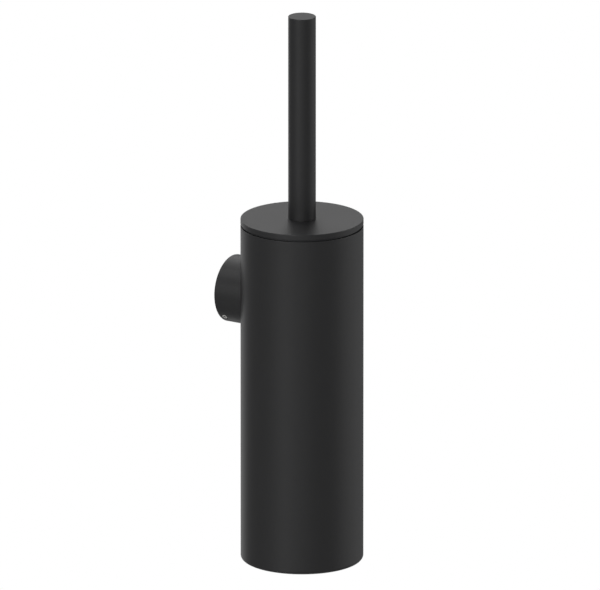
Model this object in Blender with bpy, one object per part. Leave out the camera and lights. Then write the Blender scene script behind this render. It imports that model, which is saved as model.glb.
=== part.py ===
"""Wall-mounted toilet brush holder.

A round can hangs off the wall on a coped rosette. Inside it stands a lift-out plastic liner,
and the brush hangs from a flat lid that closes both. The origin is the middle of the wall
bracket's back face: +Y goes into the wall, +Z is up, and the can stands off towards -Y.
"""

import math

import bmesh
import bpy

# Can: drawn steel, closed at the bottom.
CAN_RADIUS = 0.040
CAN_HEIGHT = 0.2256
CAN_WALL = 0.0015
CAN_BASE = 0.0015
CAN_CORNER = 0.0025
RIM_BREAK = 0.0003

# Rosette: round post between the wall and the can, hollow at the back.
WALL_STANDOFF = 0.0143
ROSETTE_DROP = 0.0506
ROSETTE_RADIUS = 0.022
ROSETTE_WALL = 0.003
ROSETTE_WEB = 0.004
ROSETTE_BREAK = 0.0008

# Wall bracket inside the rosette, and the set screw that locks the two.
BRACKET_END_ROOM = 0.0012
BRACKET_HOLE_PITCH = 0.020
BRACKET_HOLE_RADIUS = 0.0023
COUNTERSINK_RADIUS = 0.0042
GRUB_RADIUS = 0.002
GRUB_RECESS = 0.0001
GRUB_FROM_WALL = 0.0045
GRUB_ANGLE = math.radians(-135.0)
GRUB_SOCKET_RADIUS = 0.00087
GRUB_SOCKET_DEPTH = 0.0018
DOG_RADIUS = 0.0012
DOG_LENGTH = 0.0015

# M4 button-head screws and washers that hold the rosette from inside the can.
SCREW_RADIUS = 0.002
SCREW_PITCH = 0.017
HEAD_RADIUS = 0.0038
HEAD_SHOULDER_RADIUS = 0.0035
HEAD_SHOULDER_HEIGHT = 0.0011
HEAD_CROWN_RADIUS = 0.0023
HEAD_HEIGHT = 0.0022
HEAD_SOCKET_RADIUS = 0.00144
HEAD_SOCKET_DEPTH = 0.0013
WASHER_RADIUS = 0.0045
WASHER_THICKNESS = 0.0008

# Liner: moulded cup whose flange sits on the can's rim.
LINER_WALL = 0.0014
LINER_FLANGE_STEP = 0.0006
LINER_COLLAR = 0.012
LINER_TAPER = 0.008
LINER_DRAFT = 0.0006
LINER_CORNER = 0.005
LINER_FLOOR_ROOM = 0.006
LINER_SCREW_ROOM = 0.0006

# Lid, the shadow gap under it, and what clamps it to the rod.
LID_GAP = 0.0013
LID_THICKNESS = 0.0035
LID_BREAK = 0.0003
DISC_WEB = 0.0015
DISC_SKIRT_WALL = 0.0018
DISC_SKIRT_DEPTH = 0.006
LID_WASHER_RADIUS = 0.008
LID_WASHER_THICKNESS = 0.001
NUT_RADIUS = 0.0075
NUT_HEIGHT = 0.004

# Handle tube with a threaded insert in its lower end.
HANDLE_RADIUS = 0.009
HANDLE_LENGTH = 0.1362
HANDLE_WALL = 0.0012
HANDLE_CAP = 0.002
HANDLE_BREAK = 0.0004
INSERT_LENGTH = 0.020

# Rod and brush head.
ROD_RADIUS = 0.004
ROD_CHAMFER = 0.0005
ROD_IN_HANDLE = 0.016
ROD_IN_CORE = 0.018
CORE_RADIUS = 0.010
CORE_COLLAR = 0.012
CORE_COLLAR_RADIUS = 0.007
CORE_SOCKET_END = 0.002
BRISTLE_SIDE_ROOM = 0.0018
BRISTLE_FLOOR_ROOM = 0.006
ROW_COUNT = 8
ROW_PITCH = 0.0092
ROW_ROOT_THICKNESS = 0.004
ROW_TIP_THICKNESS = 0.0076
ROW_VALLEY = 0.003
TUFTS_PER_ROW = 12
TUFT_TIP_SHARE = 0.72
TUFT_ROOT_SHARE = 0.90
END_TUFT_HEIGHT = 0.011
END_TUFT_SHARE = 0.78
END_TUFT_TOP_DROP = (0.0006, 0.0038)
END_TUFT_LOW_RISE = (0.0, 0.0016)

# Clearances between pieces that rest on or sit in each other.
SEAT_GAP = 0.00025
FIT_GAP = 0.0003

# How far a cutting tool runs past the piece it cuts.
OVERRUN = 0.0015

# Facets round the big turned pieces and the small ones.
BIG_FACETS = 48
SMALL_FACETS = 24
CORNER_STEPS = 3

# Heights and distances that follow from the sizes above.
CAN_AXIS_Y = -(WALL_STANDOFF + CAN_RADIUS)
RIM_Z = ROSETTE_DROP
CAN_BORE = CAN_RADIUS - CAN_WALL
WEB_BACK = WALL_STANDOFF - ROSETTE_WEB
WASHER_SEAT = math.sqrt(CAN_BORE**2 - WASHER_RADIUS**2) - SEAT_GAP
HEAD_SEAT = WASHER_SEAT - WASHER_THICKNESS - SEAT_GAP
LINER_RADIUS = HEAD_SEAT - HEAD_HEIGHT - LINER_SCREW_ROOM
LINER_MOUTH = CAN_BORE - FIT_GAP - LINER_WALL
LINER_UNDERSIDE = CAN_BASE + LINER_FLOOR_ROOM - CAN_HEIGHT
LINER_FLOOR = LINER_UNDERSIDE + LINER_WALL
LID_TOP = LID_GAP + LID_THICKNESS
DISC_TOP = LID_GAP - SEAT_GAP
WASHER_TOP = DISC_TOP - DISC_WEB - SEAT_GAP
NUT_TOP = WASHER_TOP - LID_WASHER_THICKNESS - SEAT_GAP
HANDLE_BORE = HANDLE_RADIUS - HANDLE_WALL
ROD_HOLE = ROD_RADIUS + FIT_GAP
BRISTLE_RADIUS = LINER_RADIUS - LINER_DRAFT - LINER_WALL - BRISTLE_SIDE_ROOM
BRISTLE_END = LINER_FLOOR + BRISTLE_FLOOR_ROOM
CORE_BOTTOM = BRISTLE_END + END_TUFT_HEIGHT + SEAT_GAP
CORE_COLLAR_Z = CORE_BOTTOM + ROW_COUNT * ROW_PITCH
CORE_TOP = CORE_COLLAR_Z + CORE_COLLAR
ROD_BOTTOM = CORE_TOP - ROD_IN_CORE
ROD_TOP = LID_TOP + ROD_IN_HANDLE


def clear_scene():
    for obj in list(bpy.data.objects):
        bpy.data.objects.remove(obj, do_unlink=True)


def finish_material(name, colour, roughness, metallic):
    """A Principled material in one plain finish."""
    mat = bpy.data.materials.new(name)
    mat.use_nodes = True
    shader = mat.node_tree.nodes["Principled BSDF"]
    shader.inputs["Base Color"].default_value = (*colour, 1.0)
    shader.inputs["Roughness"].default_value = roughness
    shader.inputs["Metallic"].default_value = metallic
    return mat


def body_frame(name, y, z):
    """An empty on a body's own axis, which that body's pieces hang from."""
    empty = bpy.data.objects.new(name, None)
    empty.location = (0.0, y, z)
    bpy.context.collection.objects.link(empty)
    return empty


def add_object(name, bm, parent, location=(0, 0, 0), rotation=(0, 0, 0)):
    """Turn a bmesh into a named object under its body's empty."""
    bmesh.ops.remove_doubles(bm, verts=bm.verts, dist=1e-7)
    bmesh.ops.recalc_face_normals(bm, faces=bm.faces)
    mesh = bpy.data.meshes.new(name)
    bm.to_mesh(mesh)
    bm.free()
    mesh.shade_smooth()
    mesh.set_sharp_from_angle(angle=math.radians(35.0))
    obj = bpy.data.objects.new(name, mesh)
    obj.parent = parent
    obj.location = location
    obj.rotation_euler = rotation
    bpy.context.collection.objects.link(obj)
    return obj


def turned(outline, facets, closed=False):
    """Spin (radius, height) points round the vertical axis into a closed body."""
    bm = bmesh.new()
    verts = [bm.verts.new((radius, 0.0, height)) for radius, height in outline]
    edges = [bm.edges.new(pair) for pair in zip(verts, verts[1:])]
    if closed:
        edges.append(bm.edges.new((verts[-1], verts[0])))
    bmesh.ops.spin(
        bm,
        geom=verts + edges,
        cent=(0, 0, 0),
        axis=(0, 0, 1),
        angle=math.tau,
        steps=facets,
        use_merge=True,
    )
    return bm


def arc(centre_r, centre_z, radius, start, end, steps=CORNER_STEPS):
    """Points along a corner arc, angles in degrees from the +radius direction."""
    angles = [math.radians(start + (end - start) * i / steps) for i in range(steps + 1)]
    return [(centre_r + radius * math.cos(a), centre_z + radius * math.sin(a)) for a in angles]


def cylinder_outline(radius, low, high, chamfer=0.0):
    """Outline of a solid cylinder with the same chamfer at both ends."""
    if chamfer == 0.0:
        return [(0, low), (radius, low), (radius, high), (0, high)]
    flat = radius - chamfer
    lower = [(0, low), (flat, low), (radius, low + chamfer)]
    return lower + [(radius, high - chamfer), (flat, high), (0, high)]


def ring_outline(inner, outer, low, high):
    return [(inner, low), (outer, low), (outer, high), (inner, high)]


def cut(obj, bm, name, location, rotation=(0, 0, 0)):
    """Take a cutter's shape out of an object."""
    cutter = add_object(name, bm, obj.parent, location, rotation)
    cutter.hide_render = True
    cutter.display_type = "WIRE"
    modifier = obj.modifiers.new(name, "BOOLEAN")
    modifier.operation = "DIFFERENCE"
    modifier.solver = "EXACT"
    modifier.object = cutter


def paint(obj, mat):
    obj.data.materials.clear()
    obj.data.materials.append(mat)
    return obj


# The turned pieces of the rosette lie along Y: their height runs from the wall towards the can.
ALONG_WALL_NORMAL = (math.radians(90.0), 0.0, 0.0)


def outer_can(frame):
    base_z = RIM_Z - CAN_HEIGHT
    inner_corner = max(CAN_CORNER - CAN_WALL, RIM_BREAK)
    outline = [(0, 0)]
    outline += arc(CAN_RADIUS - CAN_CORNER, CAN_CORNER, CAN_CORNER, -90, 0)
    outline += [(CAN_RADIUS, CAN_HEIGHT - RIM_BREAK), (CAN_RADIUS - RIM_BREAK, CAN_HEIGHT)]
    outline += [(CAN_BORE, CAN_HEIGHT)]
    outline += arc(CAN_BORE - inner_corner, CAN_BASE + inner_corner, inner_corner, 0, -90)
    outline += [(0, CAN_BASE)]
    can = add_object("outer_can", turned(outline, BIG_FACETS), frame, (0, CAN_AXIS_Y, base_z))
    for place, side in (("upper", 1), ("lower", -1)):
        hole = cylinder_outline(SCREW_RADIUS + FIT_GAP, -OVERRUN, CAN_WALL + OVERRUN)
        y = CAN_AXIS_Y + CAN_RADIUS
        z = side * SCREW_PITCH / 2
        cut(can, turned(hole, SMALL_FACETS), f"can_hole_{place}", (0, y, z), ALONG_WALL_NORMAL)
    return can


def rosette(frame):
    """Round post with an open back, its front coped to the can."""
    cope_depth = CAN_RADIUS - math.sqrt(CAN_RADIUS**2 - ROSETTE_RADIUS**2)
    front = WALL_STANDOFF + cope_depth + OVERRUN
    bore = ROSETTE_RADIUS - ROSETTE_WALL
    edge = ROSETTE_RADIUS - ROSETTE_BREAK
    outline = [(0, WEB_BACK), (bore, WEB_BACK), (bore, FIT_GAP), (edge, FIT_GAP)]
    outline += [(ROSETTE_RADIUS, FIT_GAP + ROSETTE_BREAK), (ROSETTE_RADIUS, front), (0, front)]
    post = add_object(
        "rosette", turned(outline, BIG_FACETS), frame, rotation=ALONG_WALL_NORMAL
    )
    reach = 2 * ROSETTE_RADIUS
    cope = cylinder_outline(CAN_RADIUS + SEAT_GAP, -reach, reach)
    cut(post, turned(cope, 2 * BIG_FACETS), "cope_cutter", (0, CAN_AXIS_Y, 0))
    for place, side in (("upper", 1), ("lower", -1)):
        hole = cylinder_outline(SCREW_RADIUS + FIT_GAP, WEB_BACK - OVERRUN, front)
        z = side * SCREW_PITCH / 2
        cut(post, turned(hole, SMALL_FACETS), f"web_hole_{place}", (0, 0, z), ALONG_WALL_NORMAL)
    thread = cylinder_outline(GRUB_RADIUS + FIT_GAP, bore - OVERRUN, ROSETTE_RADIUS + OVERRUN)
    centre = (0, -GRUB_FROM_WALL, 0)
    cut(post, turned(thread, SMALL_FACETS), "grub_hole", centre, grub_rotation())
    return post


def bracket_radius():
    return ROSETTE_RADIUS - ROSETTE_WALL - FIT_GAP


def groove_depth():
    return DOG_LENGTH + FIT_GAP


def wall_bracket(frame):
    """Disc screwed to the wall, with a groove round it for the set screw's point."""
    radius = bracket_radius()
    root = radius - groove_depth()
    half = DOG_RADIUS + FIT_GAP
    depth = WEB_BACK - BRACKET_END_ROOM
    outline = [(0, 0), (radius, 0), (radius, GRUB_FROM_WALL - half), (root, GRUB_FROM_WALL - half)]
    outline += [(root, GRUB_FROM_WALL + half), (radius, GRUB_FROM_WALL + half)]
    outline += [(radius, depth - RIM_BREAK), (radius - RIM_BREAK, depth), (0, depth)]
    bracket = add_object(
        "wall_bracket", turned(outline, BIG_FACETS), frame, rotation=ALONG_WALL_NORMAL
    )
    flare = COUNTERSINK_RADIUS - BRACKET_HOLE_RADIUS
    past = depth + OVERRUN
    hole = [(0, -OVERRUN), (BRACKET_HOLE_RADIUS, -OVERRUN), (BRACKET_HOLE_RADIUS, depth - flare)]
    hole += [(COUNTERSINK_RADIUS, depth), (COUNTERSINK_RADIUS, past), (0, past)]
    for place, side in (("upper", 1), ("lower", -1)):
        z = side * BRACKET_HOLE_PITCH / 2
        name = f"wall_hole_{place}"
        cut(bracket, turned(hole, SMALL_FACETS), name, (0, 0, z), ALONG_WALL_NORMAL)
    return bracket


def grub_rotation():
    return (0.0, math.pi / 2 - GRUB_ANGLE, 0.0)


def grub_screw(frame):
    """Dog-point set screw, standing radially through the rosette's wall."""
    outer = ROSETTE_RADIUS - GRUB_RECESS
    shoulder = bracket_radius() + FIT_GAP
    tip = shoulder - FIT_GAP - DOG_LENGTH
    chamfer = RIM_BREAK
    outline = [(0, tip), (DOG_RADIUS, tip), (DOG_RADIUS, shoulder), (GRUB_RADIUS, shoulder)]
    outline += [(GRUB_RADIUS, outer - chamfer), (GRUB_RADIUS - chamfer, outer), (0, outer)]
    centre = (0, -GRUB_FROM_WALL, 0)
    screw = add_object(
        "grub_screw", turned(outline, SMALL_FACETS), frame, centre, grub_rotation()
    )
    socket = cylinder_outline(GRUB_SOCKET_RADIUS, outer - GRUB_SOCKET_DEPTH, outer + OVERRUN)
    cut(screw, turned(socket, 6), "grub_socket", centre, grub_rotation())
    return screw


def rosette_screw(frame, place, side):
    """Button-head screw from inside the can into the rosette's web."""
    seat_y = CAN_AXIS_Y + HEAD_SEAT
    shank = CAN_RADIUS + ROSETTE_WEB - FIT_GAP - HEAD_SEAT
    outline = [(0, -shank), (SCREW_RADIUS, -shank), (SCREW_RADIUS, 0), (HEAD_RADIUS, 0)]
    outline += [(HEAD_SHOULDER_RADIUS, HEAD_SHOULDER_HEIGHT), (HEAD_CROWN_RADIUS, HEAD_HEIGHT)]
    outline += [(0, HEAD_HEIGHT)]
    centre = (0, seat_y, side * SCREW_PITCH / 2)
    name = f"rosette_screw_{place}"
    screw = add_object(name, turned(outline, SMALL_FACETS), frame, centre, ALONG_WALL_NORMAL)
    socket_floor = HEAD_HEIGHT - HEAD_SOCKET_DEPTH
    socket = cylinder_outline(HEAD_SOCKET_RADIUS, socket_floor, HEAD_HEIGHT + OVERRUN)
    cut(screw, turned(socket, 6), f"screw_socket_{place}", centre, ALONG_WALL_NORMAL)
    return screw


def rosette_washer(frame, place, side):
    outline = ring_outline(SCREW_RADIUS + FIT_GAP, WASHER_RADIUS, 0, WASHER_THICKNESS)
    centre = (0, CAN_AXIS_Y + WASHER_SEAT, side * SCREW_PITCH / 2)
    name = f"rosette_washer_{place}"
    ring = turned(outline, SMALL_FACETS, closed=True)
    return add_object(name, ring, frame, centre, ALONG_WALL_NORMAL)


def liner_cup(frame):
    """Stepped cup: the collar centres it in the can, the flange carries it on the rim."""
    flange = CAN_RADIUS - LINER_FLANGE_STEP
    collar = CAN_BORE - FIT_GAP
    taper_low = -LINER_COLLAR - LINER_TAPER
    foot = LINER_RADIUS - LINER_DRAFT
    inner_corner = LINER_CORNER - LINER_WALL
    top = LID_GAP - SEAT_GAP
    outline = [(0, LINER_UNDERSIDE)]
    outline += arc(foot - LINER_CORNER, LINER_UNDERSIDE + LINER_CORNER, LINER_CORNER, -90, 0)
    outline += [(LINER_RADIUS, taper_low), (collar, -LINER_COLLAR), (collar, SEAT_GAP)]
    outline += [(flange, SEAT_GAP), (flange, top), (LINER_MOUTH, top)]
    outline += [(LINER_MOUTH, -LINER_COLLAR), (LINER_RADIUS - LINER_WALL, taper_low)]
    corner_r = foot - LINER_CORNER
    outline += arc(corner_r, LINER_FLOOR + inner_corner, inner_corner, 0, -90)
    outline += [(0, LINER_FLOOR)]
    return add_object("liner_cup", turned(outline, BIG_FACETS), frame)


def lid(frame):
    edge = CAN_RADIUS - LID_BREAK
    outline = [(ROD_HOLE, LID_GAP), (edge, LID_GAP), (CAN_RADIUS, LID_GAP + LID_BREAK)]
    outline += [(CAN_RADIUS, LID_TOP - LID_BREAK), (edge, LID_TOP), (ROD_HOLE, LID_TOP)]
    return add_object("lid", turned(outline, BIG_FACETS, closed=True), frame)


def centring_disc(frame):
    """Shallow skirted disc under the lid, which drops into the liner's mouth."""
    outer = LINER_MOUTH - FIT_GAP
    inner = outer - DISC_SKIRT_WALL
    web_low = DISC_TOP - DISC_WEB
    skirt_low = DISC_TOP - DISC_SKIRT_DEPTH
    outline = [(ROD_HOLE, web_low), (inner, web_low), (inner, skirt_low), (outer, skirt_low)]
    outline += [(outer, DISC_TOP), (ROD_HOLE, DISC_TOP)]
    return add_object("centring_disc", turned(outline, BIG_FACETS, closed=True), frame)


def lid_washer(frame):
    low = WASHER_TOP - LID_WASHER_THICKNESS
    outline = ring_outline(ROD_HOLE, LID_WASHER_RADIUS, low, WASHER_TOP)
    return add_object("lid_washer", turned(outline, SMALL_FACETS, closed=True), frame)


def lid_nut(frame):
    """Thin hexagon nut that clamps the lid and the disc against the handle."""
    blank = cylinder_outline(NUT_RADIUS, NUT_TOP - NUT_HEIGHT, NUT_TOP)
    nut = add_object("lid_nut", turned(blank, 6), frame)
    hole = cylinder_outline(ROD_HOLE, NUT_TOP - NUT_HEIGHT - OVERRUN, NUT_TOP + OVERRUN)
    cut(nut, turned(hole, SMALL_FACETS), "nut_hole", (0, 0, 0))
    return nut


def handle_tube(frame):
    """Tube with a flush welded top and an open lower end."""
    bottom = LID_TOP + SEAT_GAP
    top = LID_TOP + HANDLE_LENGTH
    edge = HANDLE_RADIUS - HANDLE_BREAK
    outline = [(0, top), (edge, top), (HANDLE_RADIUS, top - HANDLE_BREAK)]
    outline += [(HANDLE_RADIUS, bottom), (HANDLE_BORE, bottom)]
    outline += [(HANDLE_BORE, top - HANDLE_CAP), (0, top - HANDLE_CAP)]
    return add_object("handle_tube", turned(outline, 2 * SMALL_FACETS), frame)


def handle_insert(frame):
    """Threaded bush fixed inside the tube's lower end."""
    low = LID_TOP + SEAT_GAP
    outline = ring_outline(ROD_HOLE, HANDLE_BORE - FIT_GAP, low, low + INSERT_LENGTH)
    return add_object("handle_insert", turned(outline, SMALL_FACETS, closed=True), frame)


def brush_rod(frame):
    outline = cylinder_outline(ROD_RADIUS, ROD_BOTTOM, ROD_TOP, ROD_CHAMFER)
    return add_object("brush_rod", turned(outline, SMALL_FACETS), frame)


def brush_core(frame):
    """Moulded core with a threaded socket for the rod."""
    outline = [(0, CORE_BOTTOM), (CORE_RADIUS, CORE_BOTTOM), (CORE_RADIUS, CORE_COLLAR_Z)]
    outline += [(CORE_COLLAR_RADIUS, CORE_TOP), (ROD_HOLE, CORE_TOP)]
    outline += [(ROD_HOLE, ROD_BOTTOM - CORE_SOCKET_END), (0, ROD_BOTTOM - CORE_SOCKET_END)]
    return add_object("brush_core", turned(outline, SMALL_FACETS), frame)


def tuft_outline(root, tip):
    """Lobed outline, one fan-shaped lobe for each tuft, as (angle, radius)."""
    points = []
    for tuft in range(TUFTS_PER_ROW):
        step = math.tau / TUFTS_PER_ROW
        middle = tuft * step
        tip_half = step * TUFT_TIP_SHARE / 2
        root_half = step * TUFT_ROOT_SHARE / 2
        points += [(middle - root_half, root), (middle - tip_half, tip)]
        points += [(middle + tip_half, tip), (middle + root_half, root)]
    return points


def ring_verts(bm, points, height):
    return [bm.verts.new((r * math.cos(a), r * math.sin(a), height)) for a, r in points]


def join_loops(bm, first, second):
    """Quads between two rings of the same number of points."""
    count = len(first)
    for i in range(count):
        j = (i + 1) % count
        bm.faces.new((first[i], first[j], second[j], second[i]))


def bristle_row(frame, index):
    """One ring of tufts round the core, each tuft fanning out towards its tip."""
    root = CORE_RADIUS + ROW_VALLEY
    outline = tuft_outline(root, BRISTLE_RADIUS)
    inner = [(angle, CORE_RADIUS + FIT_GAP) for angle, _ in outline]
    bm = bmesh.new()
    loops = []
    for side in (1, -1):
        low = side * ROW_ROOT_THICKNESS / 2
        high = side * ROW_TIP_THICKNESS / 2
        outer = []
        for angle, radius in outline:
            height = high if radius > root else low
            outer += ring_verts(bm, [(angle, radius)], height)
        loops.append((ring_verts(bm, inner, low), outer))
    (top_inner, top_outer), (low_inner, low_outer) = loops
    join_loops(bm, top_inner, top_outer)
    join_loops(bm, top_outer, low_outer)
    join_loops(bm, low_outer, low_inner)
    join_loops(bm, low_inner, top_inner)
    z = CORE_BOTTOM + (index + 0.5) * ROW_PITCH
    turn = (0, 0, (index % 2) * math.pi / TUFTS_PER_ROW)
    return add_object(f"bristle_row_{index + 1}", bm, frame, (0, 0, z), turn)


def end_tuft(frame):
    """Splayed tufts under the core's lower end."""
    outer = BRISTLE_RADIUS * END_TUFT_SHARE
    outline = tuft_outline(CORE_RADIUS, outer)
    bm = bmesh.new()
    top_z = CORE_BOTTOM - SEAT_GAP
    top = bm.verts.new((0, 0, top_z))
    low = bm.verts.new((0, 0, BRISTLE_END))
    ring_top = ring_verts(bm, outline, top_z)
    ring_low = ring_verts(bm, outline, BRISTLE_END)
    for (_, radius), upper, lower in zip(outline, ring_top, ring_low):
        at_tip = int(radius > CORE_RADIUS)
        upper.co.z -= END_TUFT_TOP_DROP[at_tip]
        lower.co.z += END_TUFT_LOW_RISE[at_tip]
    join_loops(bm, ring_top, ring_low)
    count = len(outline)
    for i in range(count):
        bm.faces.new((top, ring_top[i], ring_top[(i + 1) % count]))
        bm.faces.new((low, ring_low[(i + 1) % count], ring_low[i]))
    return add_object("end_tuft", bm, frame)


def build_holder(black_coat, steel):
    frame = body_frame("holder_frame", 0.0, 0.0)
    paint(outer_can(frame), black_coat)
    paint(rosette(frame), black_coat)
    paint(wall_bracket(frame), steel)
    paint(grub_screw(frame), steel)
    for place, side in (("upper", 1), ("lower", -1)):
        paint(rosette_screw(frame, place, side), steel)
        paint(rosette_washer(frame, place, side), steel)


def build_liner(grey_plastic):
    frame = body_frame("liner_frame", CAN_AXIS_Y, RIM_Z)
    paint(liner_cup(frame), grey_plastic)


def build_brush(black_coat, steel, black_plastic, bristle):
    frame = body_frame("brush_frame", CAN_AXIS_Y, RIM_Z)
    for build in (lid, handle_tube):
        paint(build(frame), black_coat)
    for build in (handle_insert, lid_washer, lid_nut, brush_rod):
        paint(build(frame), steel)
    for build in (centring_disc, brush_core):
        paint(build(frame), black_plastic)
    for index in range(ROW_COUNT):
        paint(bristle_row(frame, index), bristle)
    paint(end_tuft(frame), bristle)


def build():
    clear_scene()
    black_coat = finish_material("matte_black_coat", (0.018, 0.018, 0.019), 0.45, 0.0)
    steel = finish_material("stainless_steel", (0.56, 0.56, 0.55), 0.30, 1.0)
    black_plastic = finish_material("black_plastic", (0.02, 0.02, 0.02), 0.5, 0.0)
    dark_grey_plastic = finish_material("dark_grey_plastic", (0.03, 0.03, 0.032), 0.5, 0.0)
    bristle = finish_material("black_bristle", (0.03, 0.03, 0.03), 0.6, 0.0)
    build_holder(black_coat, steel)
    build_liner(dark_grey_plastic)
    build_brush(black_coat, steel, black_plastic, bristle)
    bpy.context.view_layer.update()


build()
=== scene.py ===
# Wall-mounted toilet brush holder in matte black: a round can on a coped rosette, a flat lid with a
# straight bar handle, and inside them a lift-out liner and the brush itself.
import math
import random

import bmesh
import bpy
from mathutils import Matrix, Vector


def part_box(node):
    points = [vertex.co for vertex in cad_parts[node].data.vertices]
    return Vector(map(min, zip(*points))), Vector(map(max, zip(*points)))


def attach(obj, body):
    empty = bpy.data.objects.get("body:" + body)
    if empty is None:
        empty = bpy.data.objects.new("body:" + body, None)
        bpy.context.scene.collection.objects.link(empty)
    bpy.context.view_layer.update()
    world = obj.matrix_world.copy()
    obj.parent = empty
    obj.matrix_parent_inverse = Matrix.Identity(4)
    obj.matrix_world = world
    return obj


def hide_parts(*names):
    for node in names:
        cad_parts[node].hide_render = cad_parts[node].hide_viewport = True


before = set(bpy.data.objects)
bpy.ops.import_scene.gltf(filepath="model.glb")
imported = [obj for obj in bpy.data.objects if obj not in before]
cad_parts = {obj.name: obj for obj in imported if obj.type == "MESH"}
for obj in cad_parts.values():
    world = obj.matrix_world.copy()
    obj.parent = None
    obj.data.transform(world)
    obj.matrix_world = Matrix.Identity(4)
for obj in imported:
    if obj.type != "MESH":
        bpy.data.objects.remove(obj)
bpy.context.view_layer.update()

# ---------------------------------------------------------------------------------------------
# Stage: a pale floor well below the can, as it hangs on a wall, and a long lens from the front left.
# The light is a soft studio one: a grey room with wide diffused lamps, given here as directions.
# ---------------------------------------------------------------------------------------------
VIEW_AZIMUTH = -57.6
VIEW_ELEVATION = 16.39
SENSOR_WIDTH = 36.0
LENS = 1500.0
FRAME_WIDTH = 0.38994
AIM_HEIGHT = 0.00332
AIM_LEFT = 0.00131
FLOOR_DROP = 0.12
FLOOR_SIZE = 12.0
FLOOR_COLOUR = "FFFFFF"
NO_COLOUR = "000000"
FLOOR_ROUGHNESS = 0.9
ROOM_LIGHT = 0.252
LAMP_WIDTH = 34.0
CLIP_REACH = 4.0
# Name, azimuth and elevation it shines from, strength.
LAMPS = [
    ("overhead", -117.6, 62.0, 0.576),
    ("front", -57.6, 12.0, 0.349),
    ("front_left", -87.6, 12.0, 0.487),
    ("left", -117.6, 12.0, 0.135),
    ("low_left", -93.6, -36.0, 0.162),
    ("right", 32.4, 12.0, 0.508),
    ("low_right", 32.4, -12.0, 0.062),
    ("far_right", 62.4, -12.0, 0.065),
    ("back", 122.4, 36.0, 0.318),
    ("back_left", 158.4, 36.0, 0.502),
    ("low_back_left", 152.4, -12.0, 0.130),
    ("under", 122.4, -62.0, 0.208),
]


def linear(hex_code):
    """An sRGB hex code as a linear colour with alpha."""
    values = [int(hex_code[i : i + 2], 16) / 255 for i in (0, 2, 4)]
    return [v / 12.92 if v <= 0.04045 else ((v + 0.055) / 1.055) ** 2.4 for v in values] + [1.0]


def add(tree, kind, settings=(), links=()):
    """Add one node, with its settings and the sockets that feed it."""
    made = tree.nodes.new(kind)
    for name, value in dict(settings).items():
        if name in made.inputs:
            made.inputs[name].default_value = value
        else:
            setattr(made, name, value)
    for name, source in dict(links).items():
        tree.links.new(source, made.inputs[name])
    return made


def direction(azimuth, elevation):
    """Unit vector towards a place round the object: azimuth 0 is in front, 90 to the right."""
    a, e = math.radians(azimuth), math.radians(elevation)
    return Vector((math.sin(a) * math.cos(e), -math.cos(a) * math.cos(e), math.sin(e)))


def shader_of(material):
    """The material's own surface shader."""
    return material.node_tree.nodes["Principled BSDF"]


def new_material(name, colour, roughness, metallic=0.0, ior=1.5):
    """Material with its plain values set; each finish adds its own nodes to it."""
    made = bpy.data.materials.new(name)
    made.use_nodes = True
    shader = shader_of(made)
    shader.inputs["Base Color"].default_value = linear(colour)
    shader.inputs["Roughness"].default_value = roughness
    shader.inputs["Metallic"].default_value = metallic
    shader.inputs["IOR"].default_value = ior
    return made


def make_floor():
    mesh = bpy.data.meshes.new("floor")
    half = FLOOR_SIZE / 2
    corners = [(-half, -half, 0), (half, -half, 0), (half, half, 0), (-half, half, 0)]
    mesh.from_pydata(corners, [], [(0, 1, 2, 3)])
    floor = bpy.data.objects.new("floor", mesh)
    floor.location.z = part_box("outer_can")[0].z - FLOOR_DROP
    bpy.context.scene.collection.objects.link(floor)
    # The floor is seen as an even white and does no more: the coat mirrors the room, not the floor.
    paint = new_material("white_studio_floor", NO_COLOUR, FLOOR_ROUGHNESS)
    shader_of(paint).inputs["Specular IOR Level"].default_value = 0
    shader_of(paint).inputs["Emission Color"].default_value = linear(FLOOR_COLOUR)
    shader_of(paint).inputs["Emission Strength"].default_value = 1.0
    mesh.materials.append(paint)
    floor.visible_glossy = False
    floor.visible_diffuse = False


def make_lights():
    world = bpy.data.worlds.new("studio")
    bpy.context.scene.world = world
    world.use_nodes = True
    tree = world.node_tree
    tree.nodes.clear()
    path = add(tree, "ShaderNodeLightPath")
    room = add(tree, "ShaderNodeBackground", {"Color": (1, 1, 1, 1), "Strength": ROOM_LIGHT})
    backdrop = add(tree, "ShaderNodeBackground", {"Color": (1, 1, 1, 1), "Strength": 1.0})
    mix = add(tree, "ShaderNodeMixShader", {}, {"Fac": path.outputs["Is Camera Ray"]})
    tree.links.new(room.outputs[0], mix.inputs[1])
    tree.links.new(backdrop.outputs[0], mix.inputs[2])
    add(tree, "ShaderNodeOutputWorld", {}, {"Surface": mix.outputs[0]})
    for name, azimuth, elevation, strength in LAMPS:
        lamp = bpy.data.lights.new(f"{name}_lamp", "SUN")
        lamp.angle = math.radians(LAMP_WIDTH)
        lamp.energy = strength
        holder = bpy.data.objects.new(f"{name}_lamp", lamp)
        holder.rotation_euler = direction(azimuth, elevation).to_track_quat("Z", "Y").to_euler()
        bpy.context.scene.collection.objects.link(holder)


def make_camera():
    can_low, can_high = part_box("outer_can")
    toward = direction(VIEW_AZIMUTH, VIEW_ELEVATION)
    turn = math.radians(VIEW_AZIMUTH)
    to_right = Vector((math.cos(turn), math.sin(turn), 0))
    centre = Vector((0, (can_low.y + can_high.y) / 2, AIM_HEIGHT)) - to_right * AIM_LEFT
    distance = FRAME_WIDTH * LENS / SENSOR_WIDTH
    data = bpy.data.cameras.new("camera")
    data.lens = LENS
    data.sensor_width = SENSOR_WIDTH
    data.clip_end = CLIP_REACH * distance
    camera = bpy.data.objects.new("camera", data)
    camera.location = centre + toward * distance
    camera.rotation_euler = toward.to_track_quat("Z", "Y").to_euler()
    bpy.context.scene.collection.objects.link(camera)
    bpy.context.scene.camera = camera
    bpy.context.scene.view_settings.view_transform = "Standard"


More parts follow.
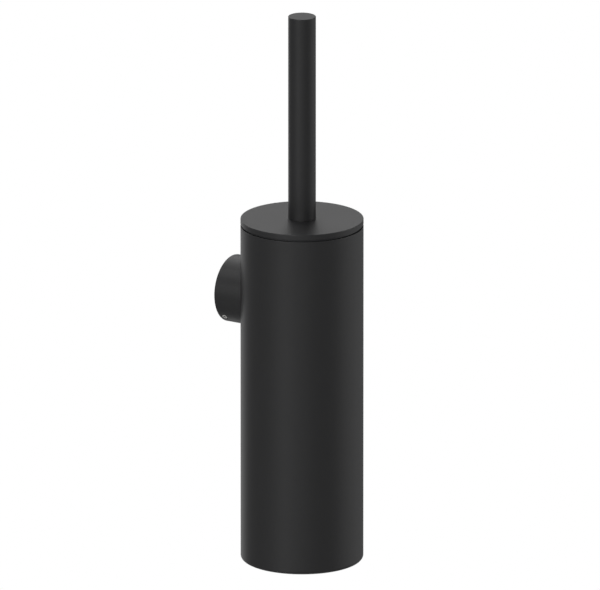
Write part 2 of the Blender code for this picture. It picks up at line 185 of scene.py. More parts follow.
make_floor()
make_lights()
make_camera()

# ---------------------------------------------------------------------------------------------
# Can: deep-drawn steel with a closed, softly cornered base, then powder coated matte black inside
# and out. Two holes in its back take the screws of the rosette.
# ---------------------------------------------------------------------------------------------
MM = 0.001
TURNED_STEPS = 160
FILLET_STEPS = 8
FILLET_SUPPORT = 0.06 * MM
HOLE_STEPS = 48
OVERRUN = 1.0 * MM
WELD = 0.0001 * MM
SHARP_ANGLE = 35.0
CAN_WALL = 1.5 * MM
CAN_BASE = 1.5 * MM
CAN_CORNER = 2.5 * MM
RIM_EDGE = 0.3 * MM
SCREW_HOLE = 2.3 * MM
SCREW_PLACES = ("upper", "lower")
ALONG_WALL_NORMAL = (math.radians(90.0), 0.0, 0.0)
COAT_LIGHT = "272728"
COAT_DARK = "232324"
POLYESTER_IOR = 1.5
COAT_ROUGHNESS = 0.42
COAT_ROUGHNESS_SPREAD = 0.04
COAT_CLOUD = 14 * MM
PEEL_WIDTH = 2.2 * MM
PEEL_HEIGHT = 0.02 * MM
# The powder's tooth is really about 0.1 mm across; it is drawn coarser so that it shows.
TOOTH_WIDTH = 0.35 * MM
TOOTH_HEIGHT = 0.008 * MM
COAT_BUMP = 0.25


def rounded(corners):
    """Points along an outline of (radius, height, fillet) corners, each fillet a true arc."""
    points = []
    for i, (r, z, fillet) in enumerate(corners):
        here = Vector((r, z))
        if fillet == 0:
            points.append((r, z))
            continue
        before = Vector(corners[i - 1][:2]) - here
        after = Vector(corners[(i + 1) % len(corners)][:2]) - here
        before.normalize()
        after.normalize()
        half = before.angle(after) / 2
        centre = here + (before + after).normalized() * (fillet / math.sin(half))
        start = here + before * (fillet / math.tan(half))
        end = here + after * (fillet / math.tan(half))
        points.append(tuple(start + before * FILLET_SUPPORT))
        first = math.atan2(start.y - centre.y, start.x - centre.x)
        sweep = math.atan2(end.y - centre.y, end.x - centre.x) - first
        sweep = (sweep + math.pi) % math.tau - math.pi
        for k in range(FILLET_STEPS + 1):
            a = first + sweep * k / FILLET_STEPS
            points.append((centre.x + fillet * math.cos(a), centre.y + fillet * math.sin(a)))
        points.append(tuple(end + after * FILLET_SUPPORT))
    return points


def finish_mesh(name, bm, material, centre=(0, 0, 0), rotation=(0, 0, 0), sharp=SHARP_ANGLE):
    """Turn a bmesh into a smooth-shaded piece with sharp edges where it really has them."""
    bmesh.ops.remove_doubles(bm, verts=bm.verts, dist=WELD)
    bmesh.ops.recalc_face_normals(bm, faces=bm.faces)
    mesh = bpy.data.meshes.new(name)
    bm.to_mesh(mesh)
    bm.free()
    mesh.shade_smooth()
    mesh.set_sharp_from_angle(angle=math.radians(sharp))
    mesh.materials.append(material)
    piece = bpy.data.objects.new(name, mesh)
    piece.location = centre
    piece.rotation_euler = rotation
    bpy.context.scene.collection.objects.link(piece)
    return piece


def turned(outline, steps=TURNED_STEPS, closed=False):
    """Spin (radius, height) points round the vertical axis into one closed skin."""
    bm = bmesh.new()
    verts = [bm.verts.new((r, 0, z)) for r, z in outline]
    edges = [bm.edges.new(pair) for pair in zip(verts, verts[1:])]
    if closed:
        edges.append(bm.edges.new((verts[-1], verts[0])))
    bmesh.ops.spin(
        bm,
        geom=verts + edges,
        cent=(0, 0, 0),
        axis=(0, 0, 1),
        angle=math.tau,
        steps=steps,
        use_merge=True,
    )
    return bm


def combine(piece, tool, operation):
    """Join a tool's shape to a piece, or take it out, for good."""
    bpy.context.view_layer.update()
    modifier = piece.modifiers.new("shape", "BOOLEAN")
    modifier.operation = operation
    modifier.object = tool
    graph = bpy.context.evaluated_depsgraph_get()
    shaped = bpy.data.meshes.new_from_object(piece.evaluated_get(graph))
    piece.modifiers.clear()
    piece.data = shaped
    bpy.data.objects.remove(tool)
    shaped.shade_smooth()
    shaped.set_sharp_from_angle(angle=math.radians(SHARP_ANGLE))


def drill(piece, outline, centre, rotation=(0, 0, 0), steps=HOLE_STEPS):
    """Take a turned shape out of a piece."""
    tool = finish_mesh("tool", turned(outline, steps), piece.data.materials[0], centre, rotation)
    combine(piece, tool, "DIFFERENCE")


def powder_coat():
    """Matte black powder coat: cured powder leaves a faint orange peel and a fine even tooth."""
    name = "matte_black_powder_coat"
    made = new_material(name, COAT_DARK, COAT_ROUGHNESS, ior=POLYESTER_IOR)
    tree = made.node_tree
    place = add(tree, "ShaderNodeTexCoord").outputs["Object"]
    cloud = add(tree, "ShaderNodeTexNoise", {"Scale": 1 / COAT_CLOUD, "Detail": 3}, {"Vector": place})
    colour = add(tree, "ShaderNodeMix", {"data_type": "RGBA"}, {"Factor": cloud.outputs["Fac"]})
    colour.inputs["A"].default_value = linear(COAT_DARK)
    colour.inputs["B"].default_value = linear(COAT_LIGHT)
    tooth = add(tree, "ShaderNodeTexNoise", {"Scale": 1 / TOOTH_WIDTH, "Detail": 2}, {"Vector": place})
    peel = add(tree, "ShaderNodeTexNoise", {"Scale": 1 / PEEL_WIDTH, "Detail": 1}, {"Vector": place})
    rough = add(tree, "ShaderNodeMapRange", {}, {"Value": tooth.outputs["Fac"]})
    rough.inputs["To Min"].default_value = COAT_ROUGHNESS - COAT_ROUGHNESS_SPREAD
    rough.inputs["To Max"].default_value = COAT_ROUGHNESS + COAT_ROUGHNESS_SPREAD
    wave = add(
        tree,
        "ShaderNodeBump",
        {"Strength": COAT_BUMP, "Distance": PEEL_HEIGHT},
        {"Height": peel.outputs["Fac"]},
    )
    grain = add(
        tree,
        "ShaderNodeBump",
        {"Strength": COAT_BUMP, "Distance": TOOTH_HEIGHT},
        {"Height": tooth.outputs["Fac"], "Normal": wave.outputs["Normal"]},
    )
    shader = shader_of(made)
    tree.links.new(colour.outputs["Result"], shader.inputs["Base Color"])
    tree.links.new(rough.outputs["Result"], shader.inputs["Roughness"])
    tree.links.new(grain.outputs["Normal"], shader.inputs["Normal"])
    return made


def mount(piece, body, slot, *nodes):
    """Put a finished piece on its body in place of the plain solids it stands for."""
    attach(piece, body)
    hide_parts(*nodes)


coat = powder_coat()
can_low, can_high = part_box("outer_can")
can_radius = (can_high.x - can_low.x) / 2
can_bore = can_radius - CAN_WALL
can_height = can_high.z - can_low.z
can_axis = Vector((0, (can_low.y + can_high.y) / 2, 0))


def make_can():
    inner_corner = CAN_CORNER - CAN_WALL
    corners = [(0, 0, 0), (can_radius, 0, CAN_CORNER), (can_radius, can_height, RIM_EDGE)]
    corners += [(can_bore, can_height, RIM_EDGE), (can_bore, CAN_BASE, inner_corner)]
    corners += [(0, CAN_BASE, 0)]
    base = can_axis + Vector((0, 0, can_low.z))
    can = finish_mesh("can_shell", turned(rounded(corners)), coat, base)
    inside = CAN_WALL + OVERRUN
    hole = [(0, -OVERRUN), (SCREW_HOLE, -OVERRUN), (SCREW_HOLE, inside), (0, inside)]
    for place in SCREW_PLACES:
        low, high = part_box(f"rosette_screw_{place}")
        drill(can, hole, (0, can_axis.y + can_radius, (low.z + high.z) / 2), ALONG_WALL_NORMAL)
    mount(can, "holder", "matte_black_coat", "outer_can")


make_can()

# ---------------------------------------------------------------------------------------------
# Rosette: turned from bar, bored out at the back for the wall bracket and coped at the front so it
# sits tight on the round can. Powder coated with the can.
# ---------------------------------------------------------------------------------------------
ROSETTE_WALL = 3.0 * MM
ROSETTE_WEB = 4.0 * MM
ROSETTE_EDGE = 0.8 * MM
BORE_EDGE = 0.3 * MM
COPE_GAP = 0.03 * MM
COPE_STEPS = 4 * TURNED_STEPS
GRUB_HOLE = 2.2 * MM
GRUB_ANGLE = math.radians(-135.0)
GRUB_TURN = (0.0, math.pi / 2 - GRUB_ANGLE, 0.0)
rosette_low, rosette_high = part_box("rosette")
rosette_radius = (rosette_high.x - rosette_low.x) / 2
standoff = -can_high.y
grub_low, grub_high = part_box("grub_screw")
grub_from_wall = -(grub_low.y + grub_high.y) / 2


def make_rosette():
    rim = -rosette_high.y
    web = standoff - ROSETTE_WEB
    bore = rosette_radius - ROSETTE_WALL
    cope_depth = can_radius - math.sqrt(can_radius**2 - rosette_radius**2)
    front = standoff + cope_depth + OVERRUN
    corners = [(0, web, 0), (bore, web, BORE_EDGE), (bore, rim, BORE_EDGE)]
    corners += [(rosette_radius, rim, ROSETTE_EDGE), (rosette_radius, front, 0), (0, front, 0)]
    post = finish_mesh("rosette_post", turned(rounded(corners)), coat, rotation=ALONG_WALL_NORMAL)
    reach = 2 * rosette_radius
    cope = can_radius + COPE_GAP
    can_shape = [(0, -reach), (cope, -reach), (cope, reach), (0, reach)]
    drill(post, can_shape, can_axis, steps=COPE_STEPS)
    outer = rosette_radius + OVERRUN
    tapped_hole = [(0, bore / 2), (GRUB_HOLE, bore / 2), (GRUB_HOLE, outer), (0, outer)]
    drill(post, tapped_hole, (0, -grub_from_wall, 0), GRUB_TURN)
    behind = web - OVERRUN
    hole = [(0, behind), (SCREW_HOLE, behind), (SCREW_HOLE, front), (0, front)]
    for place in SCREW_PLACES:
        low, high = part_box(f"rosette_screw_{place}")
        drill(post, hole, (0, 0, (low.z + high.z) / 2), ALONG_WALL_NORMAL)
    mount(post, "holder", "matte_black_coat", "rosette")


make_rosette()

# ---------------------------------------------------------------------------------------------
# Wall bracket: stainless disc turned from bar and screwed to the wall through two countersunk
# holes. The point of the set screw bites into the groove round it, which pulls the rosette tight.
# ---------------------------------------------------------------------------------------------
BRACKET_EDGE = 0.3 * MM
GROOVE_HALF = 1.5 * MM
GROOVE_DEPTH = 1.8 * MM
GROOVE_EDGE = 0.12 * MM
WALL_HOLE_PITCH = 20 * MM
WALL_HOLE = 2.3 * MM
COUNTERSINK = 4.2 * MM
HOLE_EDGE = 0.2 * MM
STEEL = "C6C5C2"
STEEL_ROUGHNESS = 0.24
STEEL_SMOOTHER = 0.06
STEEL_ROUGHER = 0.10
STAIN_WIDTH = 3 * MM
# A finishing cut really leaves a line each 0.1 mm; they are drawn coarser so that they show.
TOOL_LINE = 0.25 * MM
TOOL_LINE_HEIGHT = 0.005 * MM
TOOL_LINE_BUMP = 0.5


def turned_steel():
    """Stainless steel as it leaves the lathe: a fine line at each turn of the tool, and stains."""
    made = new_material("turned_stainless_steel", STEEL, STEEL_ROUGHNESS, metallic=1.0)
    tree = made.node_tree
    place = add(tree, "ShaderNodeTexCoord").outputs["Object"]
    split = add(tree, "ShaderNodeSeparateXYZ", {}, {"Vector": place})
    flat = add(tree, "ShaderNodeCombineXYZ", {}, {"X": split.outputs["X"], "Y": split.outputs["Y"]})
    reach = add(tree, "ShaderNodeVectorMath", {"operation": "LENGTH"}, {"Vector": flat.outputs[0]})
    along = add(tree, "ShaderNodeMath", {"operation": "ADD"})
    tree.links.new(reach.outputs["Value"], along.inputs[0])
    tree.links.new(split.outputs["Z"], along.inputs[1])
    lines = add(
        tree,
        "ShaderNodeTexNoise",
        {"noise_dimensions": "1D", "Scale": 1 / TOOL_LINE, "Detail": 2},
        {"W": along.outputs[0]},
    )
    stain = add(tree, "ShaderNodeTexNoise", {"Scale": 1 / STAIN_WIDTH, "Detail": 4}, {"Vector": place})
    rough = add(tree, "ShaderNodeMapRange", {}, {"Value": stain.outputs["Fac"]})
    rough.inputs["To Min"].default_value = STEEL_ROUGHNESS - STEEL_SMOOTHER
    rough.inputs["To Max"].default_value = STEEL_ROUGHNESS + STEEL_ROUGHER
    groove = add(
        tree,
        "ShaderNodeBump",
        {"Strength": TOOL_LINE_BUMP, "Distance": TOOL_LINE_HEIGHT},
        {"Height": lines.outputs["Fac"]},
    )
    shader = shader_of(made)
    tree.links.new(rough.outputs["Result"], shader.inputs["Roughness"])
    tree.links.new(groove.outputs["Normal"], shader.inputs["Normal"])
    return made


steel = turned_steel()


def make_wall_bracket():
    low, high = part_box("wall_bracket")
    radius = (high.x - low.x) / 2
    depth = high.y - low.y
    root = radius - GROOVE_DEPTH
    near, far = grub_from_wall - GROOVE_HALF, grub_from_wall + GROOVE_HALF
    corners = [(0, 0, 0), (radius, 0, BRACKET_EDGE), (radius, near, GROOVE_EDGE)]
    corners += [(root, near, GROOVE_EDGE), (root, far, GROOVE_EDGE), (radius, far, GROOVE_EDGE)]
    corners += [(radius, depth, BRACKET_EDGE), (0, depth, 0)]
    skin = turned(rounded(corners))
    disc = finish_mesh("wall_bracket_disc", skin, steel, rotation=ALONG_WALL_NORMAL)
    flare = COUNTERSINK - WALL_HOLE
    front = depth + OVERRUN
    hole = [(0, -OVERRUN), (WALL_HOLE + HOLE_EDGE + OVERRUN, -OVERRUN), (WALL_HOLE, HOLE_EDGE)]
    hole += [(WALL_HOLE, depth - flare), (COUNTERSINK + OVERRUN, front), (0, front)]
    for side in (1, -1):
        drill(disc, hole, (0, 0, side * WALL_HOLE_PITCH / 2), ALONG_WALL_NORMAL)
    mount(disc, "holder", "stainless_steel", "wall_bracket")


make_wall_bracket()

# ---------------------------------------------------------------------------------------------
# Set screw: stainless M4 with a hexagon socket and a dog point. It stands in the rosette's lower
# left side and is the only bright spot that shows on the outside.
# ---------------------------------------------------------------------------------------------
TOUCH = 0.001 * MM
M4_PITCH = 0.7 * MM
M4_DEPTH = 0.4 * MM
M4_CHAMFER = 0.25 * MM
ROWS_PER_TURN = 8
THREAD_STEPS = 64
SOCKET_SIDES = 6
GRUB_RECESS = 0.1 * MM
GRUB_RADIUS = 2.0 * MM
GRUB_SHOULDER = 0.3 * MM
GRUB_SOCKET = 0.87 * MM
GRUB_SOCKET_DEPTH = 1.8 * MM
DOG_RADIUS = 1.2 * MM
DOG_LENGTH = 1.5 * MM


def shank(radius, low, high, pitch):
    """Closely spaced points of a straight side, enough to carry a thread of that pitch."""
    count = math.ceil((high - low) / pitch * ROWS_PER_TURN)
    return [(radius, low + (high - low) * k / count) for k in range(count + 1)]


def reshape(bm, rule):
    """Move each point of a turned skin to the radius that a rule gives for it."""
    for vert in bm.verts:
        radius = math.hypot(vert.co.x, vert.co.y)
        if radius > TOUCH:
            grown = rule(radius, math.atan2(vert.co.y, vert.co.x), vert.co.z) / radius
            vert.co.x *= grown
            vert.co.y *= grown
    return bm


def thread(crest, low, high, pitch, depth):
    """Rule for a right-hand thread cut into a side, running out over one turn at each end."""

    def rule(radius, angle, z):
        if abs(radius - crest) > TOUCH or not low < z < high:
            return radius
        phase = (z / pitch - angle / math.tau) % 1.0
        run_out = min(1.0, (z - low) / pitch, (high - z) / pitch)
        return radius - depth * run_out * abs(2 * phase - 1)

    return rule


def make_set_screw():
    top = rosette_radius - GRUB_RECESS
    shoulder = rosette_radius - ROSETTE_WALL
    tip = shoulder - GRUB_SHOULDER - DOG_LENGTH
    outline = rounded([(0, tip, 0), (DOG_RADIUS, tip, HOLE_EDGE), (DOG_RADIUS, shoulder, 0)])
    outline += shank(GRUB_RADIUS, shoulder, top - M4_CHAMFER, M4_PITCH)
    outline += [(GRUB_RADIUS - M4_CHAMFER, top), (0, top)]
    rule = thread(GRUB_RADIUS, shoulder, top, M4_PITCH, M4_DEPTH)
    skin = reshape(turned(outline, THREAD_STEPS), rule)
    centre = (0, -grub_from_wall, 0)
    screw = finish_mesh("set_screw", skin, steel, centre, GRUB_TURN)
    floor = top - GRUB_SOCKET_DEPTH
    mouth = GRUB_SOCKET + HOLE_EDGE
    socket = [(0, floor), (GRUB_SOCKET, floor), (GRUB_SOCKET, top - HOLE_EDGE)]
    socket += [(mouth, top), (mouth, top + OVERRUN), (0, top + OVERRUN)]
    drill(screw, socket, centre, GRUB_TURN, SOCKET_SIDES)
    mount(screw, "holder", "stainless_steel", "grub_screw")


make_set_screw()

# ---------------------------------------------------------------------------------------------
# Rosette screws: two stainless M4 button heads with hexagon sockets, each on a flat washer. They go
# in from inside the can and clamp it to the rosette.
# ---------------------------------------------------------------------------------------------
SCREW_RADIUS = 2.0 * MM
BUTTON_RADIUS = 3.8 * MM
BUTTON_CROWN = 2.1 * MM
BUTTON_RIM = 0.3 * MM
BUTTON_HEIGHT = 2.2 * MM
BUTTON_STEPS = 10
BUTTON_SOCKET = 1.44 * MM
BUTTON_SOCKET_DEPTH = 1.3 * MM
WASHER_HOLE = 2.3 * MM
WASHER_EDGE = 0.12 * MM
WASHER_STEPS = 96


def dome():
    """Points of a rounded screw head, from its rim up to the flat round its socket."""
    points = []
    for k in range(BUTTON_STEPS + 1):
        a = math.pi / 2 * k / BUTTON_STEPS
        r = BUTTON_CROWN + (BUTTON_RADIUS - BUTTON_CROWN) * math.cos(a)
        points.append((r, BUTTON_RIM + (BUTTON_HEIGHT - BUTTON_RIM) * math.sin(a)))
    return points


def make_button_screw(node):
    low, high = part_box(node)
    length = high.y - low.y - BUTTON_HEIGHT
    centre = (0, low.y + BUTTON_HEIGHT, (low.z + high.z) / 2)
    outline = [(0, -length), (SCREW_RADIUS - M4_CHAMFER, -length)]
    outline += shank(SCREW_RADIUS, M4_CHAMFER - length, 0, M4_PITCH) + [(BUTTON_RADIUS, 0)]
    outline += dome() + [(0, BUTTON_HEIGHT)]
    rule = thread(SCREW_RADIUS, -length, -M4_PITCH, M4_PITCH, M4_DEPTH)
    skin = reshape(turned(outline, THREAD_STEPS), rule)
    screw = finish_mesh(f"button_{node}", skin, steel, centre, ALONG_WALL_NORMAL)
    floor = BUTTON_HEIGHT - BUTTON_SOCKET_DEPTH
    past = BUTTON_HEIGHT + OVERRUN
    socket = [(0, floor), (BUTTON_SOCKET, floor), (BUTTON_SOCKET, past), (0, past)]
    drill(screw, socket, centre, ALONG_WALL_NORMAL, SOCKET_SIDES)
    mount(screw, "holder", "stainless_steel", node)


def make_washer(node, hole, body, rotation):
    """Flat washer; its thickness lies along the wall's normal or straight up."""
    low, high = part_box(node)
    size = high - low
    radius = size.x / 2
    half = (size.y if rotation == ALONG_WALL_NORMAL else size.z) / 2
    corners = [(hole, -half, WASHER_EDGE), (radius, -half, WASHER_EDGE)]
    corners += [(radius, half, WASHER_EDGE), (hole, half, WASHER_EDGE)]
    skin = turned(rounded(corners), WASHER_STEPS, closed=True)
    ring = finish_mesh(f"flat_{node}", skin, steel, (low + high) / 2, rotation)
    mount(ring, body, "stainless_steel", node)


for place in SCREW_PLACES:
    make_button_screw(f"rosette_screw_{place}")
    make_washer(f"rosette_washer_{place}", WASHER_HOLE, "holder", ALONG_WALL_NORMAL)

# ---------------------------------------------------------------------------------------------
# Liner: dark grey polypropylene cup, injection moulded with a little draft. Its collar centres it
# in the can, its flange hangs on the rim, and the bowl under them clears the screw heads.
# ---------------------------------------------------------------------------------------------
LINER_WALL = 1.4 * MM
LINER_FLANGE_STEP = 0.9 * MM
LINER_FIT = 0.3 * MM
LINER_SEAT = 0.25 * MM
LINER_COLLAR = 12 * MM
LINER_TAPER = 8 * MM
LINER_DRAFT = 0.6 * MM
LINER_CORNER = 5 * MM
LINER_BEND = 1.5 * MM
LINER_EDGE = 0.12 * MM
LINER_HEAD_ROOM = 0.6 * MM
GATE_RADIUS = 2.5 * MM
GATE_DEPTH = 0.4 * MM
LINER_DARK = "262729"
LINER_LIGHT = "2C2D2F"
LINER_ROUGHNESS = 0.5
POLYPROPYLENE_IOR = 1.49
PLASTIC_SMOOTHER = 0.05
PLASTIC_ROUGHER = 0.07
FLOW_WIDTH = 18 * MM
FLOW_SWIRL = 1.5
# Spark-eroded grain is really near 0.05 mm across; it is drawn coarser so that it shows.
GRAIN_WIDTH = 0.22 * MM
GRAIN_HEIGHT = 0.012 * MM
GRAIN_BUMP = 0.35


def moulded(name, dark, light, roughness):
    """Moulded plastic: the fine spark-eroded grain of its mould, and faint flow marks in it."""
    made = new_material(name, dark, roughness, ior=POLYPROPYLENE_IOR)
    tree = made.node_tree
    place = add(tree, "ShaderNodeTexCoord").outputs["Object"]
    flow = add(
        tree,
        "ShaderNodeTexNoise",
        {"Scale": 1 / FLOW_WIDTH, "Detail": 4, "Distortion": FLOW_SWIRL},
        {"Vector": place},
    )
    colour = add(tree, "ShaderNodeMix", {"data_type": "RGBA"}, {"Factor": flow.outputs["Fac"]})
    colour.inputs["A"].default_value = linear(dark)
    colour.inputs["B"].default_value = linear(light)
    spark = add(tree, "ShaderNodeTexVoronoi", {"Scale": 1 / GRAIN_WIDTH}, {"Vector": place})
    rough = add(tree, "ShaderNodeMapRange", {}, {"Value": flow.outputs["Fac"]})
    rough.inputs["To Min"].default_value = roughness - PLASTIC_SMOOTHER
    rough.inputs["To Max"].default_value = roughness + PLASTIC_ROUGHER
    grain = add(
        tree,
        "ShaderNodeBump",
        {"Strength": GRAIN_BUMP, "Distance": GRAIN_HEIGHT},
        {"Height": spark.outputs["Distance"]},
    )
    shader = shader_of(made)
    tree.links.new(colour.outputs["Result"], shader.inputs["Base Color"])
    tree.links.new(rough.outputs["Result"], shader.inputs["Roughness"])
    tree.links.new(grain.outputs["Normal"], shader.inputs["Normal"])
    return made


def make_liner():
    low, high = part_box("liner_cup")
    floor = low.z + LINER_WALL
    flange = can_radius - LINER_FLANGE_STEP
    collar = can_bore - LINER_FIT
    mouth = collar - LINER_WALL
    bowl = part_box("rosette_screw_upper")[0].y - can_axis.y - LINER_HEAD_ROOM
    foot = bowl - LINER_DRAFT
    step = can_high.z - LINER_COLLAR
    bend = step - LINER_TAPER
    seat = can_high.z + LINER_SEAT
    corners = [(0, low.z, 0), (foot, low.z, LINER_CORNER), (bowl, bend, LINER_BEND)]
    corners += [(collar, step, LINER_BEND), (collar, seat, LINER_EDGE)]
    corners += [(flange, seat, LINER_EDGE), (flange, high.z, BORE_EDGE)]
    corners += [(mouth, high.z, BORE_EDGE), (mouth, step, LINER_BEND)]
    corners += [(bowl - LINER_WALL, bend, LINER_BEND)]
    corners += [(foot - LINER_WALL, floor, LINER_CORNER - LINER_WALL)]
    corners += [(GATE_RADIUS, floor, 0), (GATE_RADIUS, floor - GATE_DEPTH, 0)]
    corners += [(0, floor - GATE_DEPTH, 0)]
    grey = moulded("dark_grey_polypropylene", LINER_DARK, LINER_LIGHT, LINER_ROUGHNESS)
    cup = finish_mesh("liner_bowl", turned(rounded(corners)), grey, can_axis)
    mount(cup, "liner", "dark_grey_plastic", "liner_cup")


make_liner()

# ---------------------------------------------------------------------------------------------
# Lid: blanked steel disc with lightly broken edges, coated like the can. It is clamped between the
# handle above it and the centring disc under it, and rests on the liner's flange.
# ---------------------------------------------------------------------------------------------
LID_EDGE = 0.4 * MM
LID_LOWER_EDGE = 0.15 * MM
ROD_HOLE = 4.3 * MM


def make_lid():
    low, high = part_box("lid")
    radius = (high.x - low.x) / 2
    corners = [(ROD_HOLE, low.z, 0), (radius, low.z, LID_LOWER_EDGE), (radius, high.z, LID_EDGE)]
    corners += [(ROD_HOLE, high.z, 0)]
    skin = turned(rounded(corners), closed=True)
    mount(finish_mesh("lid_disc", skin, coat, can_axis), "brush", "matte_black_coat", "lid")


make_lid()

# ---------------------------------------------------------------------------------------------
# Handle: 18 mm steel tube, its top closed by a welded plug that is ground flush, then coated like
# the can. It stands on the lid and is held by the rod, which screws into the bush in its lower end.
# ---------------------------------------------------------------------------------------------
HANDLE_EDGE = 0.4 * MM
HANDLE_WALL = 1.2 * MM
HANDLE_PLUG = 2.0 * MM
HANDLE_SEAT = 0.03 * MM
HANDLE_FOOT_EDGE = 0.1 * MM


def make_handle():
    low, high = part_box("handle_tube")
    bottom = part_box("lid")[1].z + HANDLE_SEAT
    radius = (high.x - low.x) / 2
    bore = radius - HANDLE_WALL
    plug = high.z - HANDLE_PLUG
    corners = [(0, high.z, 0), (radius, high.z, HANDLE_EDGE), (radius, bottom, HANDLE_FOOT_EDGE)]
    corners += [(bore, bottom, 0), (bore, plug, 0), (0, plug, 0)]
    skin = turned(rounded(corners))
    tube = finish_mesh("handle_bar", skin, coat, can_axis)
    mount(tube, "brush", "matte_black_coat", "handle_tube")


make_handle()

# ---------------------------------------------------------------------------------------------
# Threaded bush: turned steel ring bonded into the handle's lower end, with grooves that hold the
# adhesive and an M8 thread that the rod screws into.
# ---------------------------------------------------------------------------------------------
M8_PITCH = 1.25 * MM
FEMALE_CREST = 4.1 * MM
FEMALE_DEPTH = 0.5 * MM
BUSH_EDGE = 0.4 * MM
BUSH_GROOVE = 0.3 * MM
BUSH_GROOVE_MOUTH = 1.0 * MM
BUSH_GROOVE_FLOOR = 0.5 * MM
# Where the grooves for its adhesive are, as shares of its height.
BUSH_GROOVES = (0.3, 0.5, 0.7)


def tapped(corners, low, high):
    """Outline of a ring whose bore carries a thread; corners run outside from its low edge up."""
    bore = shank(FEMALE_CREST, low + BUSH_EDGE, high - BUSH_EDGE, M8_PITCH)
    return corners + [(ROD_HOLE, high)] + bore[::-1] + [(ROD_HOLE, low)]


def make_bush():
    low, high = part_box("handle_insert")
    radius = (high.x - low.x) / 2
    corners = [(radius - BUSH_EDGE, low.z), (radius, low.z + BUSH_EDGE)]
    root = radius - BUSH_GROOVE
    for share in BUSH_GROOVES:
        z = low.z + share * (high.z - low.z)
        corners += [(radius, z - BUSH_GROOVE_MOUTH), (root, z - BUSH_GROOVE_FLOOR)]
        corners += [(root, z + BUSH_GROOVE_FLOOR), (radius, z + BUSH_GROOVE_MOUTH)]
    corners += [(radius, high.z - BUSH_EDGE), (radius - BUSH_EDGE, high.z)]
    rule = thread(FEMALE_CREST, low.z, high.z, M8_PITCH, -FEMALE_DEPTH)
    outline = tapped(corners, low.z, high.z)
    skin = reshape(turned(outline, THREAD_STEPS, closed=True), rule)
    bush = finish_mesh("threaded_bush", skin, steel, can_axis)
    mount(bush, "brush", "stainless_steel", "handle_insert")


make_bush()

# ---------------------------------------------------------------------------------------------
# Rod: 8 mm stainless bar, turned smooth between its two threaded ends, which screw into the handle's
# bush and the brush core. With the lid shut the head hangs just clear of the liner's floor.
# ---------------------------------------------------------------------------------------------
ROD_RADIUS = 4.0 * MM
ROD_CHAMFER = 0.6 * MM
ROD_UPPER_THREAD = 30 * MM
ROD_LOWER_THREAD = 20 * MM
M8_DEPTH = 0.7 * MM


def make_rod():
    low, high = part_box("brush_rod")
    end, start = low.z + ROD_LOWER_THREAD, high.z - ROD_UPPER_THREAD
    flat = ROD_RADIUS - ROD_CHAMFER
    outline = [(0, low.z), (flat, low.z)]
    outline += shank(ROD_RADIUS, low.z + ROD_CHAMFER, end, M8_PITCH)
    outline += shank(ROD_RADIUS, start, high.z - ROD_CHAMFER, M8_PITCH)
    outline += [(flat, high.z), (0, high.z)]
    lower = thread(ROD_RADIUS, low.z, end, M8_PITCH, M8_DEPTH)
    upper = thread(ROD_RADIUS, start, high.z, M8_PITCH, M8_DEPTH)
    skin = reshape(reshape(turned(outline, THREAD_STEPS), lower), upper)
    rod = finish_mesh("threaded_rod", skin, steel, can_axis)
    mount(rod, "brush", "stainless_steel", "brush_rod")


make_rod()

# ---------------------------------------------------------------------------------------------
# Under the lid: a moulded, ribbed disc of black polypropylene that centres the lid in the liner's
# mouth, then a steel washer and a thin M8 nut that clamps all of them against the handle.
# ---------------------------------------------------------------------------------------------
DISC_WEB = 1.5 * MM
DISC_SKIRT = 1.8 * MM
DISC_EDGE = 0.4 * MM
HUB_INNER = 9.4 * MM
HUB_OUTER = 10.8 * MM
HUB_DEPTH = 3.2 * MM
RIB_COUNT = 8
RIB_HALF = 0.6 * MM
RIB_DRAFT = 0.75
RIB_SINK = 0.5 * MM
NUT_CORNER = 7.5 * MM
NUT_FLAT = NUT_CORNER * math.cos(math.pi / 6)
NUT_SLOPE = math.tan(math.radians(30.0))
NUT_ROWS = 6
NUT_STEPS = 96
BLACK_DARK = "1B1B1C"
BLACK_LIGHT = "202021"
BLACK_ROUGHNESS = 0.45
black_plastic = moulded("black_polypropylene", BLACK_DARK, BLACK_LIGHT, BLACK_ROUGHNESS)


def make_rib(length, height):
    """Bar with a drafted free edge, lying along X from the origin and hanging below it."""
    bm = bmesh.new()
    top = [(0, -RIB_HALF, 0), (length, -RIB_HALF, 0), (length, RIB_HALF, 0), (0, RIB_HALF, 0)]
    low = [(x, y * RIB_DRAFT, -height) for x, y, _ in top]
    upper = [bm.verts.new(p) for p in top]
    lower = [bm.verts.new(p) for p in low]
    bm.faces.new(upper)
    bm.faces.new(lower[::-1])
    for i in range(4):
        j = (i + 1) % 4
        bm.faces.new((upper[i], lower[i], lower[j], upper[j]))
    return bm


